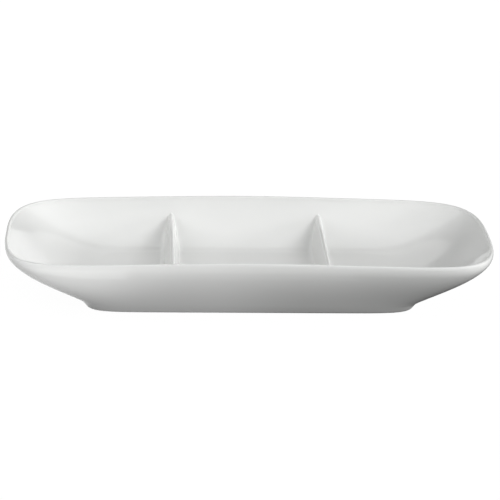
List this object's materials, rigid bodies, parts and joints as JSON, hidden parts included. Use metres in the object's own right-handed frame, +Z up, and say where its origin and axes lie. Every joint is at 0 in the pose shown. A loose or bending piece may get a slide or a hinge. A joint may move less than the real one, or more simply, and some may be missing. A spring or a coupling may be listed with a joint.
{
  "type": "divided serving bowl",
  "caption": "Long, shallow white glazed serving bowl with rounded corners, flared ends, a foot and low dividers that part its inside into equal compartments.",
  "frame": {"origin": "on the table, under the middle of the bowl", "axes": "+X along the length, +Y across the width, +Z up out of the compartments"},
  "size_m": [0.3, 0.117, 0.0395],
  "materials": {
    "glazed_porcelain": "gloss",
    "foot_porcelain": "gloss sides, bare matt edge"
  },
  "bodies": {
    "root": {"dish_shell": "glazed_porcelain", "foot_ring": "foot_porcelain", "left_divider": "glazed_porcelain", "right_divider": "glazed_porcelain"}
  },
  "joints": []
}
